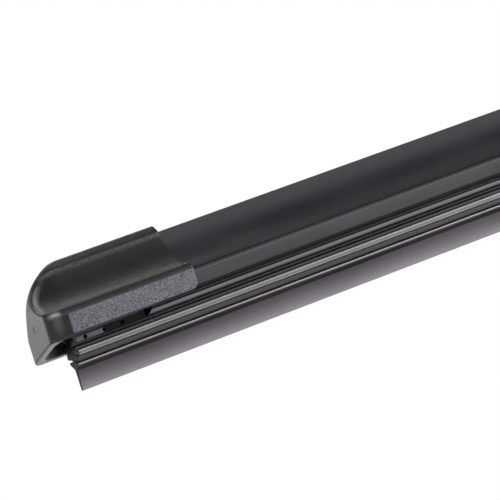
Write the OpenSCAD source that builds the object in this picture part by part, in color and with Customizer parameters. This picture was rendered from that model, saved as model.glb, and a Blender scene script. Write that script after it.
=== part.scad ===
// Flat beam wiper blade: a rubber squeegee carried by two spring rails, with an
// asymmetric wind spoiler, moulded end caps and a connector for a hooked wiper arm.
// X runs along the blade, Z points away from the glass and -Y faces the hollow side
// of the spoiler. The origin is the middle of the pivot axis.
// Heights in the sections are measured from the tip of the rubber lip.

/* [Rubber] */
// Length of the rubber element
rubber_length = 400; // [300:10:700]
// Height of the thin wiping lip
lip_height = 4.3; // [3:0.1:5]
// Thickness of the lip at its tip
lip_tip_width = 0.7; // [0.5:0.05:1]
// Thickness of the lip where the wedge starts
lip_root_width = 1; // [0.8:0.05:1.4]
// Height of the slope from the lip to the edge of the wedge
wedge_slope_height = 1; // [0.8:0.05:1.4]
// Height of the upright edge of the wedge
wedge_edge_height = 0.5; // [0.3:0.05:0.7]
// Width of the wedge
wedge_width = 4.4; // [3.6:0.1:5]
// Height of the thin web that lets the wedge flip over
web_height = 0.5; // [0.4:0.05:0.8]
// Thickness of that web
web_width = 0.9; // [0.7:0.05:1.2]
// Height of the shoulder under the rails
shoulder_height = 1.3; // [1:0.05:1.6]
// Bevel along the shoulder's upper edges
shoulder_bevel = 0.4; // [0.2:0.05:0.6]
// Width of that shoulder
shoulder_width = 5.2; // [4.4:0.1:5.6]
// Width of the rubber between the rails
waist_width = 2.2; // [1.6:0.1:2.6]
// Height of the flange over the rails
flange_height = 0.6; // [0.5:0.05:0.9]
// Width of that flange
flange_width = 5.8; // [5:0.1:6]
// Height of the neck under the head
neck_height = 1.2; // [1:0.05:1.5]
// Width of that neck
neck_width = 2.4; // [1.8:0.1:3]
// Height of the head that the spoiler grips
head_height = 1.2; // [1:0.05:1.6]
// Width of that head
head_width = 5.2; // [4.6:0.1:5.6]

/* [Rails] */
// Width of each spring steel rail
rail_width = 2.9; // [2.6:0.1:3.4]
// Thickness of each rail
rail_thickness = 1; // [0.7:0.05:1.2]
// How far each rail ends inside the end of the rubber
rail_inset = 0.1; // [0.1:0.1:2]

/* [Spoiler] */
// Height of the spoiler's top edge above the head of the rubber
spoiler_rise = 12.8; // [11.5:0.1:16]
// Width of the top edge
spoiler_edge_width = 0.8; // [0.6:0.1:1.4]
// Distance from the middle plane to the back of the top edge
spoiler_edge_back = 4.9; // [4.3:0.1:5.2]
// Reach of the spoiler to the front, from the middle plane
spoiler_front = 7; // [6.2:0.1:8]
// Reach of the spoiler to the back, from the middle plane
spoiler_back = 5.6; // [5.3:0.1:6.4]
// Height of the crest where the hollow face ends at the front, above the head of the rubber
crest_rise = 4.9; // [4:0.1:5.6]
// Radius of the spoiler's crest, where the hollow meets the front
spoiler_crest_radius = 1; // [0.4:0.1:1.2]
// Radius of the hollow face
hollow_radius = 15.2; // [12:0.1:24]
// Height of the lower edge of the spoiler's front and back, above the head of the rubber
skirt_rise = 1.4; // [1.2:0.1:2.4]
// Wall of the spoiler's foot beside the head of the rubber
foot_wall = 1.15; // [0.9:0.05:1.4]
// How far the foot's lips stand out from that wall
foot_lip = 0.6; // [0.4:0.05:0.8]
// Height of the foot's lips
foot_lip_height = 1; // [0.8:0.1:1.2]
// Thickness of the lips that grip the head of the rubber
grip_thickness = 0.7; // [0.5:0.05:0.8]

/* [End caps] */
// Length of an end cap
cap_length = 34; // [30:0.1:44]
// Wall of the cap
cap_wall = 1.2; // [1:0.1:1.6]
// Wall of the cap under its hollow
hollow_wall = 0.8; // [0.6:0.1:1.2]
// Overhang of the cap beyond the end of the rubber
cap_overhang = 6.5; // [5.5:0.1:9]
// How far the spoiler reaches into the cap
spoiler_insert = 11; // [8:0.5:16]
// Radius of the cap's nose, seen from the front
nose_radius = 10; // [8:0.1:11]
// Height over the lower back edge where the nose starts to lean at its back corner
nose_upright = 5.4; // [4:0.1:6]
// Lean of that corner from there up to the level of the cap's top
nose_lean = 3.1; // [2:0.1:4]
// Radius of that leaning corner, seen from the front
nose_lean_radius = 10.8; // [8:0.1:12]
// Angle of that corner to the nose's face, seen from above
nose_turn = 23.6; // [15:0.1:30]
// Radius where the corner starts to lean
nose_bend_radius = 4; // [2:0.1:6]
// How far the front face turns in at the nose
nose_front_drop = 0.8; // [0.4:0.1:1.2]
// Length over which it turns in
nose_front_length = 4.8; // [3:0.1:6]
// Radius of the nose's back corner, seen from above
nose_back_radius = 2.5; // [1:0.1:4]
// Height of the rim round the hollow of the cap
rim_height = 0.5; // [0.3:0.05:1]
// Width of that rim
rim_width = 1.3; // [0.8:0.1:2]
// Distance from the cap's front face to the edge of the hollow
crest_width = 2.6; // [2:0.1:3.5]
// Radius of the crest where it turns down into the front face
crest_radius = 1.7; // [1:0.1:1.9]
// How far the cap's lower edge at the back lies below the top of the rubber's head
cap_back_drop = 5; // [4:0.1:5.4]
// How far the cap's lower edge at the front lies above the top of the rubber's head
cap_front_rise = 0.9; // [0.4:0.1:1.2]
// Radius of the front wall's lower corner at the mouth
mouth_corner_radius = 1.8; // [0.5:0.1:2.5]

/* [End clips] */
// Length of the lip that the clip's sides carry at the end of the rubber
clip_lip_length = 6.5; // [4:0.5:8]
// How far the clip ends inside the end of the rubber
clip_inset = 0.2; // [0.1:0.1:4]
// Height of the clip's roof over the rubber
clip_roof = 1.1; // [0.8:0.1:1.4]
// Radius of the small windows in the clip's sides
clip_window_radius = 0.45; // [0.3:0.05:0.5]
// Number of those windows
clip_windows = 3; // [1:1:4]
// Distance between two windows, and from the rubber's end to half way before the first
clip_window_pitch = 4.4; // [3:0.1:5]

/* [Connector] */
// Radius of the pivot pin
pin_radius = 2.5; // [2:0.1:2.8]
// Radius of the pin's heads
pin_head_radius = 3.5; // [3.2:0.1:3.8]
// Thickness of the pin's heads
pin_head_thickness = 1; // [0.6:0.1:1.2]
// Sheet thickness of the steel base
base_sheet = 1; // [0.8:0.1:1.2]
// Length of the steel base
base_length = 56; // [50:1:62]
// Length of each claw
claw_length = 8; // [6:0.5:9]
// How far each claw lies inside the end of the base
claw_inset = 1; // [0.5:0.5:3]
// Length of the ears that hold the pin, at their foot
ear_length = 14; // [12:0.5:16]
// Width of the ears' rim round the pin
ear_rim = 1.8; // [1.4:0.1:2.2]
// Length of the cover's well in front of the hook's bend
well_front_room = 2.6; // [1.5:0.1:5]
// Length of the cover's well behind the adapter's tail
well_back_room = 5; // [3:0.5:8]
// Length of the cover's taper at each end
cover_taper = 15; // [8:1:24]
// Wall of the cover beside the ears
cover_wall = 1.6; // [1.2:0.1:2.2]
// Depth of the cover below the spoiler's lower edge
cover_drop = 2.6; // [2:0.1:2.8]
// Step from the top of a cap down to the top of the cover's ends
cover_step = 0.5; // [0.3:0.1:1]
// Radius of the cover's upper corners in its wide middle
cover_corner_radius = 2; // [1:0.1:2.4]

/* [Adapter] */
// Width of the hook that the adapter takes
hook_width = 9; // [8:0.5:9.5]
// Thickness of that hook
hook_thickness = 4; // [3:0.5:4]
// Inner radius of that hook's bend
hook_radius = 4.4; // [4:0.1:4.6]
// Play beside the hook between the side plates
hook_play = 0.2; // [0.1:0.05:0.4]
// Wall of the adapter's side plates
side_plate = 1.4; // [1:0.1:1.6]
// How far the side plates stand over the core
side_plate_rise = 2; // [1:0.1:2.4]
// Length of the adapter's tail, from the pivot axis
tail_length = 20; // [16:0.5:21]
// How far the core ends inside the tail
core_inset = 1; // [0.5:0.1:2]
// Wall of the core behind the pin
core_wall = 2.4; // [2:0.1:3]
// How far each edge of the core's mouth snaps over the pin
mouth_snap = 0.3; // [0.2:0.05:0.4]
// Thickness of the latch tongue
tongue_thickness = 1.5; // [1.2:0.1:1.8]
// Height of the slit over the latch tongue
slit_height = 1; // [0.8:0.1:1.4]
// How much narrower the latch tongue is than the hook, at each side
tongue_step = 0.5; // [0.3:0.1:1]
// Length of the latch tongue, from the pivot axis
tongue_end = 13; // [10:0.5:14]
// Height of the latch bump
bump_height = 0.9; // [0.5:0.1:1.2]

/* [Clearances] */
// Gap between plastic or steel pieces that slide over each other when fitted
fit_gap = 0.15; // [0.05:0.05:0.25]
// Gap round the pin in the adapter
pin_gap = 0.08; // [0.04:0.01:0.1]
// Gap beside the turning adapter
swing_gap = 0.3; // [0.2:0.05:0.5]
// Gap under the hook's lower leg
hook_gap = 0.5; // [0.4:0.1:1]
// Gap between the claws and the rubber's flange
claw_gap = 0.25; // [0.1:0.05:0.4]

/* [Hidden] */
$fn = 96;

// Levels of the rubber section, from the tip of the lip upwards
wedge_z = lip_height + wedge_slope_height;
web_z = wedge_z + wedge_edge_height;
shoulder_z = web_z + web_height;
rail_z = shoulder_z + shoulder_height;
flange_z = rail_z + rail_thickness;
neck_z = flange_z + flange_height;
head_z = neck_z + neck_height;
head_top = head_z + head_height;
spoiler_height = head_top + spoiler_rise;
crest_height = head_top + crest_rise;
skirt_height = head_top + skirt_rise;

// Rails
rail_inner = waist_width / 2 + fit_gap / 2;
rail_outer = rail_inner + rail_width;
rail_length = rubber_length - 2 * rail_inset;

// Ends along X
rubber_end = rubber_length / 2;
nose_x = rubber_end + cap_overhang;
mouth_x = nose_x - cap_length;
spoiler_end = mouth_x + spoiler_insert;
clip_start = spoiler_end + 2 * fit_gap;
clip_length = rubber_end - clip_inset - clip_start;

// The channel that slides over the rubber's head
channel_half = head_width / 2 + fit_gap;
channel_z = head_z - fit_gap;
channel_top = head_top + fit_gap;
grip_half = neck_width / 2 + 2 * fit_gap;
grip_z = channel_z - grip_thickness;
foot_half_width = channel_half + foot_wall;
foot_lip_half_width = foot_half_width + foot_lip;

// The hollow face runs from the top edge to the crest as one arc
hollow_top = [spoiler_edge_back - spoiler_edge_width, spoiler_height];
hollow_foot = [-spoiler_front, crest_height];
chord = hollow_top - hollow_foot;
chord_half = norm(chord) / 2;
chord_turn = [-chord[1], chord[0]] / norm(chord);
hollow_centre = (hollow_top + hollow_foot) / 2
    + chord_turn * sqrt(hollow_radius * hollow_radius - chord_half * chord_half);

// Cap outside
cap_front = spoiler_front + cap_wall;
cap_back = spoiler_back + cap_wall;
cap_top = spoiler_height + cap_wall + 2 * fit_gap;
dish_radius = hollow_radius - hollow_wall;
rim_radius = dish_radius - rim_height;
crest_y = crest_width - cap_front;
rim_crest = hollow_level(rim_radius, crest_y);
cap_back_height = head_top - cap_back_drop;
cap_front_height = head_top + cap_front_rise;
cap_slope = (cap_front_height - cap_back_height) / (cap_front + cap_back);

// Connector
plate_z = head_top + 2 * fit_gap;
plate_top = plate_z + base_sheet;
claw_wall = rail_outer + fit_gap;
claw_inner = flange_width / 2 + claw_gap;
adapter_half = hook_width / 2 + hook_play + side_plate;
ear_inner = adapter_half + swing_gap;
ear_outer = ear_inner + base_sheet;
pivot_height = plate_top + hook_gap + hook_thickness + hook_radius;
cover_height = pivot_height + hook_radius;
cover_inner = ear_outer + fit_gap;
cover_half = cover_inner + cover_wall;
claw_middle = base_length / 2 - claw_length / 2 - claw_inset;
well_front = hook_radius + hook_thickness + well_front_room;
well_back = tail_length + well_back_room;
slit_top = tongue_thickness + slit_height;
tongue_root = pin_radius + core_wall;
cover_middle = well_back + 2;
cover_end = cover_middle + cover_taper;
cover_foot = skirt_height - cover_drop;
cover_end_height = cap_top - cover_step;
slab = 0.5;

// Corner i of a list of [y, z, radius], cut to an arc of short steps
function unit(v) = v / norm(v);
function flat(p) = [p[0], p[1]];
function swing(a) = a > 180 ? a - 360 : a < -180 ? a + 360 : a;
function corner(a, b, c, steps) =
    let (u = unit(flat(a) - flat(b)), v = unit(flat(c) - flat(b)))
    let (half = acos(u * v) / 2, centre = flat(b) + unit(u + v) * b[2] / sin(half))
    let (s = flat(b) + u * b[2] / tan(half) - centre, e = flat(b) + v * b[2] / tan(half) - centre)
    let (a0 = atan2(s[1], s[0]), sweep = swing(atan2(e[1], e[0]) - a0))
    [for (k = [0:steps]) centre + b[2] * [cos(a0 + sweep * k / steps), sin(a0 + sweep * k / steps)]];
function rounded(c, steps = 4) =
    [for (i = [0:len(c) - 1]) each c[i][2] > 0
        ? corner(c[(i + len(c) - 1) % len(c)], c[i], c[(i + 1) % len(c)], steps)
        : [flat(c[i])]];
function mirrored(c) = [for (i = [len(c) - 1:-1:0]) [-c[i][0], c[i][1], c[i][2]]];

// Height of an arc about the centre of the hollow face, at distance y from the middle plane
function hollow_level(radius, y) =
    hollow_centre[1] - sqrt(radius * radius - (y - hollow_centre[0]) * (y - hollow_centre[0]));

// Points of such an arc from height z_start at the top down to distance y_end at the front
function hollow_arc(radius, z_start, y_end, steps) =
    let (a0 = asin((z_start - hollow_centre[1]) / radius))
    let (a1 = -acos((y_end - hollow_centre[0]) / radius))
    [for (k = [0:steps]) let (a = a0 + (a1 - a0) * k / steps)
        [hollow_centre[0] + radius * cos(a), hollow_centre[1] + radius * sin(a), 0]];

// Everything below is drawn with the tip of the lip at zero height and set down here
module set() translate([0, 0, -pivot_height]) children();

// A section in [y, z] drawn out along X from x0 to x1
module along_x(x0, x1) translate([x0, 0, 0]) rotate([90, 0, 90]) linear_extrude(x1 - x0) children();

// An outline in [x, z] drawn out along Y from y0 to y1
module along_y(y0, y1) translate([0, y1, 0]) rotate([90, 0, 0]) linear_extrude(y1 - y0) children();

// The squeegee's section is the same on both sides
rubber_side = [
    [lip_tip_width / 2, 0, 0],
    [lip_root_width / 2, lip_height, 0],
    [wedge_width / 2, wedge_z, 0.1],
    [wedge_width / 2, web_z, 0.1],
    [web_width / 2, web_z, 0.1],
    [web_width / 2, shoulder_z, 0.1],
    [shoulder_width / 2, shoulder_z, 0.1],
    [shoulder_width / 2, rail_z - shoulder_bevel, 0],
    [shoulder_width / 2 - shoulder_bevel, rail_z, 0],
    [waist_width / 2, rail_z, 0],
    [waist_width / 2, flange_z, 0],
    [flange_width / 2, flange_z, 0],
    [flange_width / 2, neck_z, 0.2],
    [neck_width / 2, neck_z, 0],
    [neck_width / 2, head_z, 0],
    [head_width / 2, head_z, 0.2],
    [head_width / 2, head_top, 0.4]
];

module wiper_rubber() {
    color([0.09, 0.09, 0.09]) set()
        along_x(-rubber_end, rubber_end) polygon(rounded(concat(rubber_side, mirrored(rubber_side))));
}

// A spring rail lies in each side groove of the rubber
module rail(side) {
    set() translate([0, side * (rail_inner + rail_width / 2), rail_z + rail_thickness / 2])
        cube([rail_length, rail_width, rail_thickness], center = true);
}
module front_rail() color([0.42, 0.43, 0.45]) rail(-1);
module rear_rail() color([0.42, 0.43, 0.45]) rail(1);

// Foot with the channel for the rubber's head, up to the groove above each lip
foot_side = [
    [grip_half, channel_z, 0],
    [grip_half, grip_z, 0.15],
    [foot_lip_half_width, channel_z, 0.4],
    [foot_lip_half_width, channel_z + foot_lip_height, 0.3],
    [foot_half_width, channel_z + 1.5 * foot_lip_height, 0.2]
];
channel_side = [
    [channel_half, channel_top, 0],
    [channel_half, channel_z, 0]
];

arc_steps = 16;
spoiler_hollow = hollow_arc(hollow_radius, spoiler_height, -spoiler_front, arc_steps);
spoiler_section = concat(
    channel_side, foot_side,
    [[spoiler_back, skirt_height, 0.5], [spoiler_edge_back, spoiler_height, 0.3]],
    [for (i = [0:arc_steps])
        [spoiler_hollow[i][0], spoiler_hollow[i][1], i == 0 ? 0.2 : i == arc_steps ? spoiler_crest_radius : 0]],
    [[-spoiler_front, skirt_height, 0.4]],
    mirrored(foot_side), mirrored(channel_side));

module spoiler() {
    along_x(cover_end + fit_gap, spoiler_end) polygon(rounded(spoiler_section));
}
module left_spoiler() color([0.16, 0.16, 0.17]) set() mirror([1, 0, 0]) spoiler();
module right_spoiler() color([0.16, 0.16, 0.17]) set() spoiler();

// Outer section of a cap with the rim's height all over, before the hollow is sunk into it
cap_rim = hollow_arc(rim_radius, cap_top, crest_y, arc_steps);
cap_section = concat(
    [[-cap_front, -1, 0], [cap_back, -1, 0], [cap_back, skirt_height, 3],
        [spoiler_edge_back + cap_wall, cap_top, 1.2]],
    [for (i = [0:arc_steps]) [cap_rim[i][0], cap_rim[i][1], i == 0 ? 0.7 : 0]],
    [[-cap_front, rim_crest, crest_radius]]);

// Space for the spoiler inside a cap, open below
module cap_inside() {
    polygon(rounded(concat(
        [[-spoiler_front - fit_gap, -1, 0], [spoiler_back + fit_gap, -1, 0],
            [spoiler_back + fit_gap, skirt_height, 0],
            [spoiler_edge_back + fit_gap, spoiler_height + fit_gap, 0]],
        hollow_arc(hollow_radius - fit_gap, spoiler_height + fit_gap, -spoiler_front - fit_gap, arc_steps))));
}

// The nose in side view and in plan view, drawn for the end at +X and pulled in by inset.
// The front face turns in to the nose by a shallow arc
nose_turn_radius = (nose_front_length ^ 2 + nose_front_drop ^ 2) / (2 * nose_front_drop);
nose_front_arc = [for (i = [0:6]) let (a = asin(nose_front_length / nose_turn_radius) * i / 6)
    [nose_x - nose_front_length + nose_turn_radius * sin(a), nose_turn_radius * (1 - cos(a)) - cap_front]];
module nose_side(inset) {
    polygon(rounded([
        [mouth_x - 1, -2, 0],
        [nose_x - inset, -2, 0],
        [nose_x - inset, cap_top - inset, nose_radius - inset],
        [mouth_x - 1, cap_top - inset, 0]], 12));
}
module nose_plan(inset) {
    polygon(rounded(concat(
        [[mouth_x - 1, -cap_front + inset, 0]],
        [for (p = nose_front_arc) [p[0] - inset, p[1] + inset, 0]],
        [[nose_x - inset, cap_back - inset, max(0.2, nose_back_radius - inset)],
        [mouth_x - 1, cap_back - inset, 0]]), 8));
}

// The back corner leans in. Its profile lies in an upright plane turned by nose_turn, and starts
// where the round corner of the plan view reaches furthest in that plane
nose_corner = [nose_x, cap_back];
turned_corner = nose_corner[0] * cos(nose_turn) + nose_corner[1] * sin(nose_turn)
    - nose_back_radius * (cos(nose_turn) + sin(nose_turn) - 1);
module nose_lean_side(inset) {
    polygon(rounded([
        [0, -2, 0],
        [turned_corner - inset, -2, 0],
        [turned_corner - inset, cap_back_height + nose_upright, nose_bend_radius],
        [turned_corner - nose_lean - inset, cap_top - inset, nose_lean_radius - inset],
        [0, cap_top - inset, 0]], 12));
}
module nose_form(inset) {
    intersection() {
        along_y(-cap_front, cap_back) nose_side(inset);
        translate([0, 0, -2]) linear_extrude(cap_top + 4) nose_plan(inset);
        rotate([0, 0, nose_turn]) along_y(-nose_x, nose_x) nose_lean_side(inset);
    }
}

// The hollow in the cap's top stops short of the rim at the front, the top and the nose
module cap_dish() {
    intersection() {
        along_x(mouth_x - 1, nose_x) intersection() {
            translate(hollow_centre) circle(dish_radius);
            translate([crest_y, crest_height])
                square([cap_front + cap_back, cap_top - rim_width - crest_height]);
        }
        nose_form(rim_width);
    }
}

// The lower edge of the cap slopes from the front down to the back
module cap_underside() {
    along_x(mouth_x - 2, nose_x + 2) polygon([
        [-cap_front - 1, cap_front_height + cap_slope],
        [-cap_front - 1, -3],
        [cap_back + 1, -3],
        [cap_back + 1, cap_back_height - cap_slope]]);
}

// The lower corner of the front wall is round at the mouth
module mouth_corner() {
    along_y(-cap_front - 1, -spoiler_front) difference() {
        translate([mouth_x - 1, cap_front_height - 1])
            square([mouth_corner_radius + 1, mouth_corner_radius + 1]);
        translate([mouth_x + mouth_corner_radius, cap_front_height + mouth_corner_radius])
            circle(mouth_corner_radius);
    }
}

module end_cap() {
    difference() {
        intersection() {
            along_x(mouth_x, nose_x) polygon(rounded(cap_section, 6));
            nose_form(0);
        }
        cap_dish();
        difference() {
            intersection() {
                along_x(mouth_x - 1, nose_x) cap_inside();
                nose_form(cap_wall);
            }
            cap_ribs();
        }
        cap_underside();
        mouth_corner();
    }
}

// Two cross ribs bear on the clip's roof, and a ledge stiffens the back wall inside the nose
module cap_ribs() {
    for (x = [clip_start + cap_wall, clip_start + clip_length - 2 * cap_wall])
        translate([x, -cap_front, clip_top + fit_gap]) cube([cap_wall, cap_front + cap_back, cap_top]);
    translate([clip_start, claw_wall + fit_gap, cap_back_height]) cube([cap_length, cap_back, cap_wall]);
}

module left_end_cap() color([0.2, 0.2, 0.2]) set() mirror([1, 0, 0]) end_cap();
module right_end_cap() color([0.2, 0.2, 0.2]) set() end_cap();

// The clip grips the rubber's head with the spoiler's own foot and fills the cap down to its roof.
// Its sides carry a lip at the outer end only
clip_top = channel_top + clip_roof;
clip_section = concat(
    channel_side, foot_side,
    [[foot_lip_half_width, clip_top, 0.3], [-foot_lip_half_width, clip_top, 0.3]],
    mirrored(foot_side), mirrored(channel_side));

module end_clip() {
    clip_end = clip_start + clip_length;
    difference() {
        union() {
            along_x(clip_end - clip_lip_length, clip_end) polygon(rounded(clip_section));
            along_x(clip_start, clip_end - clip_lip_length) intersection() {
                polygon(rounded(clip_section));
                translate([-foot_half_width, 0]) square([2 * foot_half_width, cap_top]);
            }
        }
        for (i = [0:clip_windows - 1])
            translate([rubber_end - (i + 0.5) * clip_window_pitch, 0, channel_z + foot_lip_height / 2])
                rotate([90, 0, 0]) cylinder(r = clip_window_radius, h = 2 * cap_front, center = true);
    }
}
module left_end_clip() color([0.3, 0.3, 0.3]) set() mirror([1, 0, 0]) end_clip();
module right_end_clip() color([0.3, 0.3, 0.3]) set() end_clip();

// Folded steel base: a plate over the rubber, two ears for the pin and four claws round the rails
module connector_base() {
    color([0.35, 0.36, 0.38]) set() {
        difference() {
            union() {
                translate([-base_length / 2, -claw_wall - base_sheet, plate_z])
                    cube([base_length, 2 * (claw_wall + base_sheet), base_sheet]);
                translate([-ear_length / 2, -ear_outer, plate_z])
                    cube([ear_length, 2 * ear_outer, base_sheet]);
                for (side = [-1, 1]) {
                    base_ear(side);
                    for (x = [-claw_middle, claw_middle]) translate([x, 0, 0]) base_claw(side);
                }
            }
            translate([0, 0, pivot_height]) rotate([90, 0, 0])
                cylinder(r = pin_radius, h = 3 * ear_outer, center = true);
        }
    }
}
module base_ear(side) {
    along_y(side > 0 ? ear_inner : -ear_outer, side > 0 ? ear_outer : -ear_inner) {
        translate([-ear_length / 2, plate_z]) square([ear_length, base_sheet]);
        polygon([
            [-ear_length / 2, plate_z + base_sheet / 2],
            [ear_length / 2, plate_z + base_sheet / 2],
            [pin_radius + ear_rim, pivot_height],
            [-pin_radius - ear_rim, pivot_height]]);
        translate([0, pivot_height]) circle(pin_radius + ear_rim);
    }
}
module base_claw(side) {
    along_x(-claw_length / 2, claw_length / 2) polygon([for (p = [
        [claw_wall, plate_z],
        [claw_wall + base_sheet, plate_z],
        [claw_wall + base_sheet, rail_z - base_sheet],
        [claw_inner, rail_z - base_sheet],
        [claw_inner, rail_z],
        [claw_wall, rail_z],
        [claw_wall, flange_z],
        [claw_inner, flange_z],
        [claw_inner, flange_z + base_sheet],
        [claw_wall, flange_z + base_sheet]]) [side * p[0], p[1]]]);
}

// Moulded cover: a loft from the caps' outline at its ends to a wide middle round the pivot.
// The same form pulled in by the wall hollows it out.
module cover_end_section(inset) {
    polygon(rounded([
        [inset - cap_front, cover_foot, inset > 0 ? 0 : 1],
        [cap_back - inset, cover_foot, inset > 0 ? 0 : 1],
        [spoiler_edge_back + cap_wall - inset, cover_end_height - inset, cover_corner_radius],
        [0, cover_end_height - inset, cover_corner_radius],
        [inset - cap_front, rim_crest - inset, cover_corner_radius]]));
}
module cover_middle_section(inset) {
    polygon(rounded([
        [inset - cover_half, cover_foot, inset > 0 ? 0 : 1],
        [cover_half - inset, cover_foot, inset > 0 ? 0 : 1],
        [cover_half - inset, cover_height - inset, cover_corner_radius],
        [inset - cover_half, cover_height - inset, cover_corner_radius]]));
}
module cover_form(inset) {
    for (side = [-1, 1]) hull() {
        translate([side * cover_middle, 0, 0]) along_x(-slab / 2, slab / 2) cover_middle_section(inset);
        translate([side * (cover_end - inset - slab / 2), 0, 0])
            along_x(-slab / 2, slab / 2) cover_end_section(inset);
    }
    along_x(-cover_middle, cover_middle) cover_middle_section(inset);
}

// The hollow keeps a wall round the well and a cross rib over each end of the base
module cover_hollow() {
    difference() {
        cover_form(cover_wall);
        translate([-well_front - cover_wall, -cover_half, 0])
            cube([well_front + well_back + 2 * cover_wall, 2 * cover_half, cover_height]);
        for (x = [-cover_middle - cover_taper / 3, cover_middle + cover_taper / 3])
            translate([x - cover_wall / 2, -cover_half, channel_top])
                cube([cover_wall, 2 * cover_half, cover_height]);
    }
}

module connector_cover() {
    color([0.18, 0.18, 0.18]) set() difference() {
        cover_form(0);
        cover_hollow();
        cover_spaces();
    }
}
module cover_spaces() {
    // Well round the adapter and the ears, open above
    translate([-well_front, -cover_inner, plate_z - fit_gap])
        cube([well_front + well_back, 2 * cover_inner, cover_height]);
    // Room for the base's plate and claws, open below
    translate([-base_length / 2 - fit_gap, -claw_wall - base_sheet - fit_gap, 0])
        cube([base_length + 2 * fit_gap, 2 * (claw_wall + base_sheet + fit_gap), plate_top + fit_gap]);
    translate([-ear_length / 2 - fit_gap, -cover_inner, 0])
        cube([ear_length + 2 * fit_gap, 2 * cover_inner, plate_top + fit_gap]);
    // Passage for the head of the rubber
    translate([-2 * cover_end, -channel_half - fit_gap, 0])
        cube([4 * cover_end, 2 * (channel_half + fit_gap), channel_top + fit_gap]);
    // Round holes for the heads of the pin
    translate([0, 0, pivot_height]) rotate([90, 0, 0])
        cylinder(r = pin_head_radius + fit_gap, h = 4 * cover_half, center = true);
}

module pivot_pin() {
    color([0.6, 0.61, 0.63]) set() translate([0, 0, pivot_height]) rotate([90, 0, 0]) {
        cylinder(r = pin_radius, h = 2 * ear_outer + pin_head_thickness, center = true);
        for (side = [-1, 1])
            translate([0, 0, side * (ear_outer + pin_head_thickness / 2)])
                cylinder(r = pin_head_radius, h = pin_head_thickness, center = true);
    }
}

// Adapter for a hooked arm, drawn about the pivot axis with its tail towards +X
module side_plate_outline() {
    plate_radius = hook_radius + side_plate_rise;
    tail_radius = plate_radius / 3;
    hull() {
        circle(plate_radius, $fn = 64);
        translate([tail_length - tail_radius, plate_radius - tail_radius]) circle(tail_radius, $fn = 32);
    }
}
module core_outline() {
    circle(hook_radius);
    translate([0, slit_top - hook_radius]) square([tail_length - core_inset, 2 * hook_radius - slit_top]);
    translate([0, -hook_radius]) square([tongue_root, hook_radius]);
}
module hook_adapter() {
    core_half = adapter_half - side_plate;
    color([0.14, 0.14, 0.14]) difference() {
        union() {
            along_y(-core_half, core_half) core_outline();
            for (y = [-adapter_half, core_half]) along_y(y, y + side_plate) side_plate_outline();
            latch_tongue();
        }
        rotate([90, 0, 0]) cylinder(r = pin_radius + pin_gap, h = 4 * adapter_half, center = true);
        // Mouth that snaps over the pin
        translate([mouth_snap - pin_radius, -2 * adapter_half, -2 * hook_radius - side_plate_rise])
            cube([2 * (pin_radius - mouth_snap), 4 * adapter_half, 2 * hook_radius + side_plate_rise]);
    }
}

// Springy tongue under the core, with the bump that snaps into the hook's hole
module latch_tongue() {
    along_y(tongue_step - hook_width / 2, hook_width / 2 - tongue_step) {
        translate([tongue_root - fit_gap, -hook_radius])
            square([tongue_end - tongue_root + fit_gap, tongue_thickness]);
        translate([(tongue_root + tongue_end) / 2, -hook_radius]) circle(bump_height);
    }
}

wiper_rubber();
front_rail();
rear_rail();
left_spoiler();
right_spoiler();
left_end_cap();
right_end_cap();
left_end_clip();
right_end_clip();
connector_base();
connector_cover();
pivot_pin();
hook_adapter();
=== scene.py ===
"""Looks of a flat beam wiper blade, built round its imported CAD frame.

X runs along the blade, Z points away from the glass and -Y is the side that the hollow face of the
spoiler looks to. Sizes in the sections are in millimetres from the tip of the rubber lip.
"""

import itertools
import math

import bpy
import numpy as np
from mathutils import Matrix, Vector


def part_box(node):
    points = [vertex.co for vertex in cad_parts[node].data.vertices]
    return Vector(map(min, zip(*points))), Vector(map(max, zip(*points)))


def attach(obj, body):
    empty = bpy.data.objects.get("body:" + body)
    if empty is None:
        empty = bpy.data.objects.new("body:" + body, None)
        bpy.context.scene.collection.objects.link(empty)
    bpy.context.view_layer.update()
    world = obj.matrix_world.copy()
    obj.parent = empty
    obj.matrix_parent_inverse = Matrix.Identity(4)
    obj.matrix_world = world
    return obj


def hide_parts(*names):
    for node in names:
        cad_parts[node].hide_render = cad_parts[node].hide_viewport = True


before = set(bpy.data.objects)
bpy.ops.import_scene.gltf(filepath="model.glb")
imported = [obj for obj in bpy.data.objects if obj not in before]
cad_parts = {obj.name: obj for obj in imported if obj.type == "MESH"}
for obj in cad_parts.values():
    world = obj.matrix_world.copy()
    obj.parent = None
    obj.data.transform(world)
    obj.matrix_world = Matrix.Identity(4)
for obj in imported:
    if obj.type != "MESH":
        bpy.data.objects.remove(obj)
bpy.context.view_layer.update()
MM = 0.001


# Sizes of the sections. The rubber, the rails and the hollow are as in the solids. The nose of the
# cap and the lip of the spoiler's foot were fitted to the photo and differ from them a little.

LIP_HEIGHT = 4.3
LIP_TIP_WIDTH = 0.7
LIP_ROOT_WIDTH = 1.0
WEDGE_SLOPE_HEIGHT = 1.0
WEDGE_EDGE_HEIGHT = 0.5
WEDGE_WIDTH = 4.4
WEDGE_DRAFT = 0.09
WEB_HEIGHT = 0.5
WEB_WIDTH = 0.9
SHOULDER_HEIGHT = 1.3
SHOULDER_BEVEL = 0.4
SHOULDER_WIDTH = 5.2
WAIST_WIDTH = 2.2
RAIL_THICKNESS = 1.0
RAIL_EDGE_RADIUS = 0.08
RAIL_CHAMFER = 0.04
FLANGE_HEIGHT = 0.6
FLANGE_WIDTH = 5.8
NECK_HEIGHT = 1.2
NECK_WIDTH = 2.4
HEAD_HEIGHT = 1.2
HEAD_WIDTH = 5.2

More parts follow.
